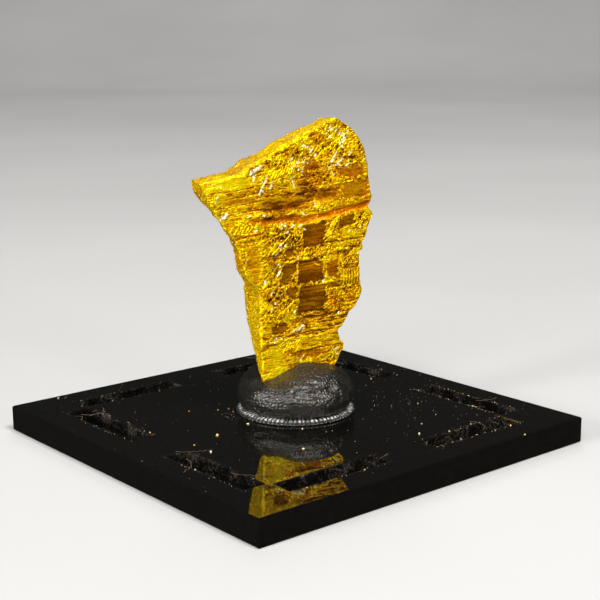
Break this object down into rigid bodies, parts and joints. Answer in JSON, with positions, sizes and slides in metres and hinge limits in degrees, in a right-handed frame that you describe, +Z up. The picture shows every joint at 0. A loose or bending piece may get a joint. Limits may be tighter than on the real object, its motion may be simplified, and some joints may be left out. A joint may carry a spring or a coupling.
{
  "type": "orpiment specimen on a display base",
  "caption": "Golden orpiment cleavage blade with a leaning horn and stepped faces, stood upright in black mounting putty on a clear fluted disc and a slotted black square plate.",
  "frame": {"origin": "centre of the plate's underside", "axes": "+Z up; X and Y along the plate's edges; the blade's broad front face looks towards -Y, turned 7 degrees towards -X, and its horn leans towards -X"},
  "size_m": [0.05, 0.05, 0.0389],
  "materials": {
    "black_acrylic": "polished black cast acrylic with dust, specks and lint",
    "clear_plastic": "translucent white, crimped into radial flutes",
    "black_putty": "hand-pressed, fine leathery grain with a waxy sheen",
    "orpiment": "translucent golden yellow to amber, resinous and pearly on its cleavage steps"
  },
  "bodies": {
    "root": {"base_plate": "black_acrylic", "foot_disc": "clear_plastic", "putty_mount": "black_putty", "orpiment_blade": "orpiment"}
  },
  "joints": []
}
